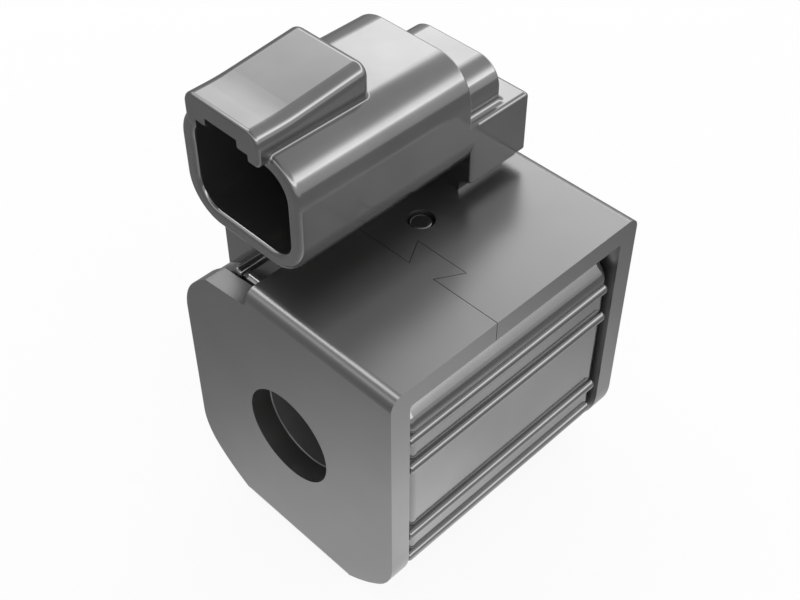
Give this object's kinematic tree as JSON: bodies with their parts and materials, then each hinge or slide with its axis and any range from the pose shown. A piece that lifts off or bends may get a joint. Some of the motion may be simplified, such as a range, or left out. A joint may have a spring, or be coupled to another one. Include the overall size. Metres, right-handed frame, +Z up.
{
  "type": "solenoid valve coil",
  "caption": "Box-yoke solenoid coil with a round through bore, a ribbed moulded body and a latching connector socket on top that opens to the front.",
  "frame": {"origin": "on the bore axis, in the outer face of the front plate", "axes": "+X to the right as the front plate is seen, +Y along the bore to the rear plate, +Z up towards the connector"},
  "size_m": [0.0437, 0.05, 0.0777],
  "materials": {
    "yoke_steel": "satin plated",
    "moulding": "metallic grey, satin",
    "connector": "metallic grey, satin",
    "bobbin": "satin grey",
    "magnet_wire": "enamelled copper",
    "wrap_tape": "film tape",
    "bar_metal": "tinned",
    "pin_metal": "nickel plated",
    "solder": "dull"
  },
  "bodies": {
    "root": {"yoke": "yoke_steel", "encapsulation": "moulding", "connector_housing": "connector", "bobbin": "bobbin", "winding": "magnet_wire", "winding_wrap": "wrap_tape", "start_lead": "magnet_wire", "finish_lead": "magnet_wire", "start_bar": "bar_metal", "finish_bar": "bar_metal", "start_pin": "pin_metal", "finish_pin": "pin_metal", "start_solder": "solder", "finish_solder": "solder"}
  },
  "joints": []
}
